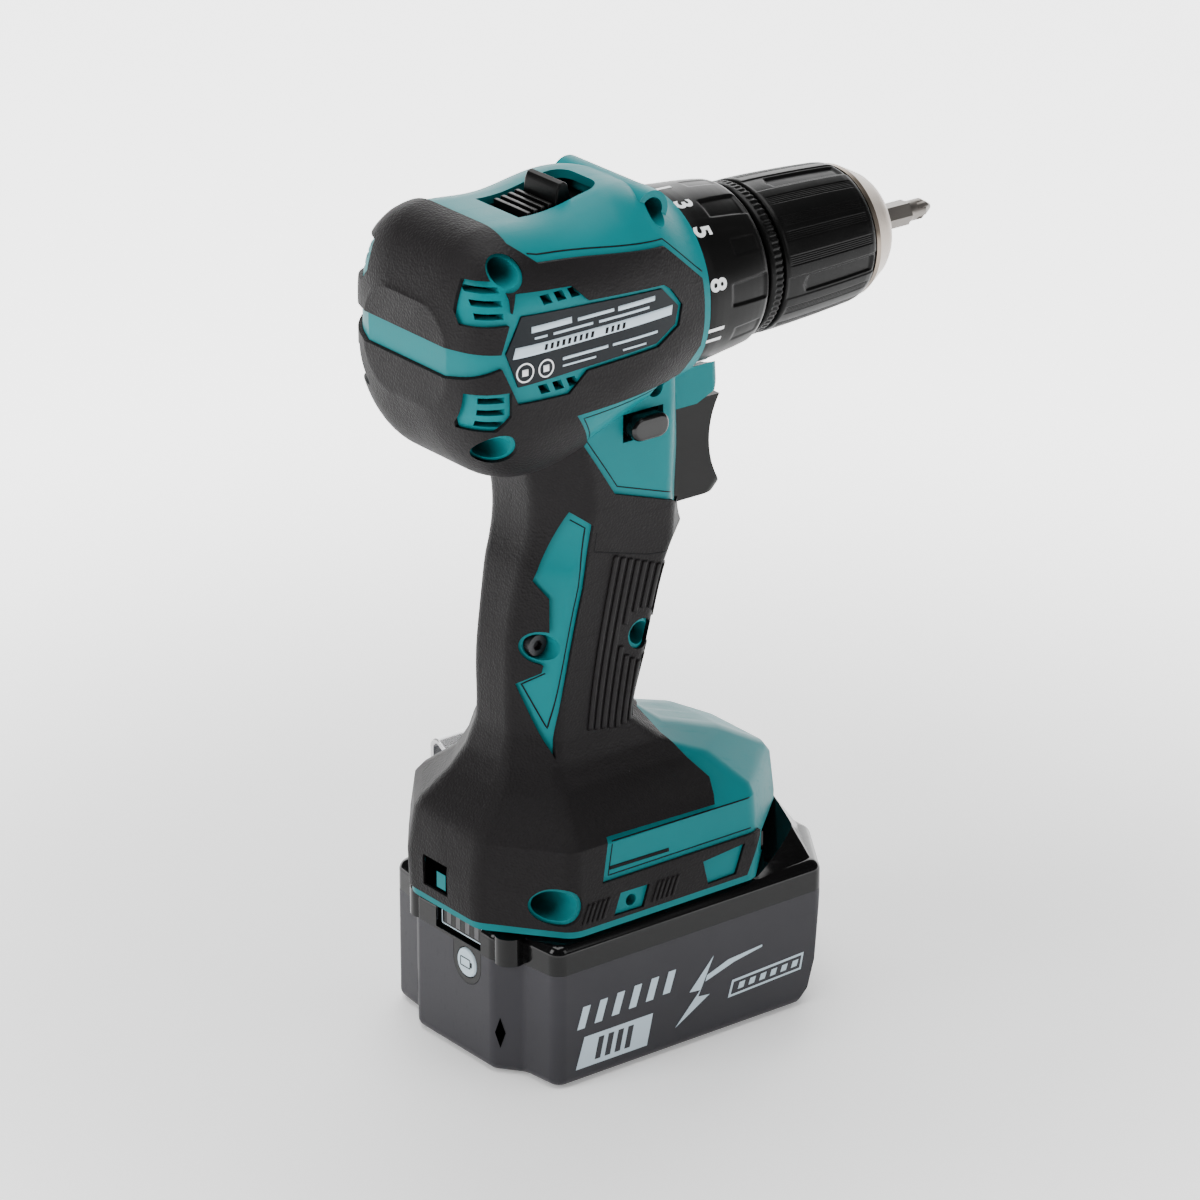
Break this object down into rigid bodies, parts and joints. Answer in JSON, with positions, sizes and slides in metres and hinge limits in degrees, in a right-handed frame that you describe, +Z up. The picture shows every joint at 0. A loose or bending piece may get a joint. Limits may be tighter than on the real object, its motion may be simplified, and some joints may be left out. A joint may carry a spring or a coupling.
{
  "type": "cordless drill driver",
  "caption": "Compact pistol-grip cordless drill driver with a keyless chuck, a numbered torque ring, a trigger, a speed selector and a slide-on battery.",
  "frame": {"origin": "centre of the flat base of the battery, on which the tool stands", "axes": "+X forwards, the way the chuck points; +Y to the left of a person holding it; +Z up"},
  "size_m": [0.1803, 0.0868, 0.247],
  "materials": {
    "shell_teal": "satin",
    "overmould_black": "matte",
    "nameplate": "satin",
    "screw_steel": "satin",
    "hook_steel": "satin",
    "lamination": "satin",
    "copper": "satin",
    "ground_steel": "satin",
    "gear_steel": "satin",
    "magnet": "satin",
    "fan_plastic": "matte",
    "case_plastic": "matte",
    "spring_steel": "satin",
    "ring_black": "satin",
    "control_black": "satin",
    "nut_steel": "satin",
    "nickel": "satin",
    "jaw_steel": "satin",
    "bit_steel": "satin",
    "lens": "clear",
    "circuit": "satin",
    "nut_plastic": "matte",
    "battery_grey": "satin",
    "battery_gloss": "gloss",
    "gauge": "gloss",
    "check_white": "satin",
    "cell_wrap": "satin"
  },
  "bodies": {
    "housing": {"housing_right": "shell_teal", "housing_left": "shell_teal", "overmould_right": "overmould_black", "overmould_left": "overmould_black", "nameplate_right": "nameplate", "nameplate_left": "nameplate", "housing_screws": "screw_steel", "belt_hook": "hook_steel", "hook_screw": "screw_steel", "stator": "lamination", "motor_windings": "copper", "rear_bearing": "ground_steel", "front_bearing": "ground_steel", "ring_gear_1": "gear_steel", "gear_case": "case_plastic", "clutch_balls": "screw_steel", "clutch_plate": "ground_steel", "spindle_bearing": "ground_steel", "lamp_lens": "lens", "switch_body": "fan_plastic", "controller": "circuit", "terminal_block": "fan_plastic", "terminal_blades": "copper"},
    "rotor": {"rotor_shaft": "ground_steel", "rotor_magnets": "magnet", "cooling_fan": "fan_plastic"},
    "first_carrier": {"carrier_1": "ground_steel"},
    "chuck": {"spindle": "ground_steel", "carrier_2": "ground_steel", "chuck_body": "nickel", "chuck_ring": "ring_black"},
    "chuck_sleeve": {"chuck_sleeve": "ring_black", "split_nut": "nut_steel"},
    "torque_ring": {"torque_ring": "ring_black"},
    "spring_nut": {"spring_nut": "nut_plastic", "clutch_spring": "spring_steel"},
    "speed_selector": {"speed_lever": "control_black", "shift_wire": "spring_steel", "ring_gear_2": "gear_steel"},
    "trigger": {"trigger": "control_black"},
    "direction_lever": {"direction_lever": "control_black"},
    "screw_bit": {"screw_bit": "bit_steel"},
    "battery": {"battery_case": "battery_grey", "battery_cover": "battery_gloss", "battery_cells": "cell_wrap", "cell_holder": "fan_plastic", "battery_board": "circuit", "battery_terminals": "copper", "charge_gauge": "gauge"},
    "release_button": {"release_button": "control_black"},
    "check_button": {"check_button": "check_white"},
    "planet_1a": {"planet_1a": "gear_steel"},
    "planet_2a": {"planet_2a": "gear_steel"},
    "planet_1b": {"planet_1b": "gear_steel"},
    "planet_2b": {"planet_2b": "gear_steel"},
    "planet_1c": {"planet_1c": "gear_steel"},
    "planet_2c": {"planet_2c": "gear_steel"},
    "jaw_1": {"jaw_1": "jaw_steel"},
    "jaw_2": {"jaw_2": "jaw_steel"},
    "jaw_3": {"jaw_3": "jaw_steel"}
  },
  "joints": [
    {"name": "chuck_spin", "type": "hinge", "parent": "housing", "child": "chuck", "pos_m": [0.04, 0, 0.2101], "axis": [1, 0, 0], "continuous": true},
    {"name": "rotor_spin", "type": "hinge", "parent": "housing", "child": "rotor", "pos_m": [-0.03, 0, 0.2101], "axis": [1, 0, 0], "continuous": true},
    {"name": "first_carrier_spin", "type": "hinge", "parent": "housing", "child": "first_carrier", "pos_m": [-0.007, 0, 0.2101], "axis": [1, 0, 0], "continuous": true},
    {"name": "planet_1a_spin", "type": "hinge", "parent": "first_carrier", "child": "planet_1a", "pos_m": [-0.0115, 0, 0.22135], "axis": [1, 0, 0], "continuous": true},
    {"name": "planet_1b_spin", "type": "hinge", "parent": "first_carrier", "child": "planet_1b", "pos_m": [-0.0115, -0.00974, 0.20447], "axis": [1, 0, 0], "continuous": true},
    {"name": "planet_1c_spin", "type": "hinge", "parent": "first_carrier", "child": "planet_1c", "pos_m": [-0.0115, 0.00974, 0.20447], "axis": [1, 0, 0], "continuous": true},
    {"name": "planet_2a_spin", "type": "hinge", "parent": "chuck", "child": "planet_2a", "pos_m": [0.0008, 0, 0.22285], "axis": [1, 0, 0], "continuous": true},
    {"name": "planet_2b_spin", "type": "hinge", "parent": "chuck", "child": "planet_2b", "pos_m": [0.0008, -0.01104, 0.20372], "axis": [1, 0, 0], "continuous": true},
    {"name": "planet_2c_spin", "type": "hinge", "parent": "chuck", "child": "planet_2c", "pos_m": [0.0008, 0.01104, 0.20372], "axis": [1, 0, 0], "continuous": true},
    {"name": "sleeve_turn", "type": "hinge", "parent": "chuck", "child": "chuck_sleeve", "pos_m": [0.06, 0, 0.2101], "axis": [1, 0, 0], "range_deg": [0, 2160]},
    {"name": "jaw_1_slide", "type": "slide", "parent": "chuck", "child": "jaw_1", "axis": [-0.9703, 0, 0.2419], "range_m": [0, 0.0121]},
    {"name": "jaw_2_slide", "type": "slide", "parent": "chuck", "child": "jaw_2", "axis": [-0.9703, -0.2095, -0.121], "range_m": [0, 0.0121]},
    {"name": "jaw_3_slide", "type": "slide", "parent": "chuck", "child": "jaw_3", "axis": [-0.9703, 0.2095, -0.121], "range_m": [0, 0.0121]},
    {"name": "bit_pull", "type": "slide", "parent": "chuck", "child": "screw_bit", "axis": [1, 0, 0], "range_m": [0, 0.03]},
    {"name": "torque_ring_turn", "type": "hinge", "parent": "housing", "child": "torque_ring", "pos_m": [0.025, 0, 0.2101], "axis": [1, 0, 0], "range_deg": [-290, 0]},
    {"name": "spring_nut_slide", "type": "slide", "parent": "housing", "child": "spring_nut", "axis": [1, 0, 0], "range_m": [-0.0036, 0], "deforming": ["clutch_spring"]},
    {"name": "speed_select", "type": "slide", "parent": "housing", "child": "speed_selector", "axis": [-1, 0, 0], "range_m": [0, 0.0042]},
    {"name": "trigger_pull", "type": "slide", "parent": "housing", "child": "trigger", "axis": [-1, 0, 0], "range_m": [0, 0.0065], "stiffness_N_per_m": 600, "springref_m": -0.004},
    {"name": "direction_push", "type": "slide", "parent": "housing", "child": "direction_lever", "axis": [0, 1, 0], "range_m": [-0.0025, 0.0025]},
    {"name": "battery_slide", "type": "slide", "parent": "housing", "child": "battery", "axis": [1, 0, 0], "range_m": [0, 0.095]},
    {"name": "release_press", "type": "slide", "parent": "battery", "child": "release_button", "axis": [0, 0, -1], "range_m": [0, 0.0025], "stiffness_N_per_m": 500, "springref_m": -0.003},
    {"name": "check_press", "type": "slide", "parent": "battery", "child": "check_button", "axis": [1, 0, 0], "range_m": [0, 0.0008], "stiffness_N_per_m": 400, "springref_m": -0.002}
  ],
  "couplings": [
    {"joint": "rotor_spin", "follows": "chuck_spin", "ratio": 16.667},
    {"joint": "first_carrier_spin", "follows": "chuck_spin", "ratio": 3.3333},
    {"joint": "planet_1a_spin", "follows": "chuck_spin", "ratio": -8.8889},
    {"joint": "planet_1b_spin", "follows": "chuck_spin", "ratio": -8.8889},
    {"joint": "planet_1c_spin", "follows": "chuck_spin", "ratio": -8.8889},
    {"joint": "planet_2a_spin", "follows": "chuck_spin", "ratio": -3.5},
    {"joint": "planet_2b_spin", "follows": "chuck_spin", "ratio": -3.5},
    {"joint": "planet_2c_spin", "follows": "chuck_spin", "ratio": -3.5},
    {"joint": "jaw_1_slide", "follows": "sleeve_turn", "m_per_rad": 0.00031831},
    {"joint": "jaw_2_slide", "follows": "sleeve_turn", "m_per_rad": 0.00031831},
    {"joint": "jaw_3_slide", "follows": "sleeve_turn", "m_per_rad": 0.00031831},
    {"joint": "spring_nut_slide", "follows": "torque_ring_turn", "m_per_rad": 0.00070415}
  ]
}
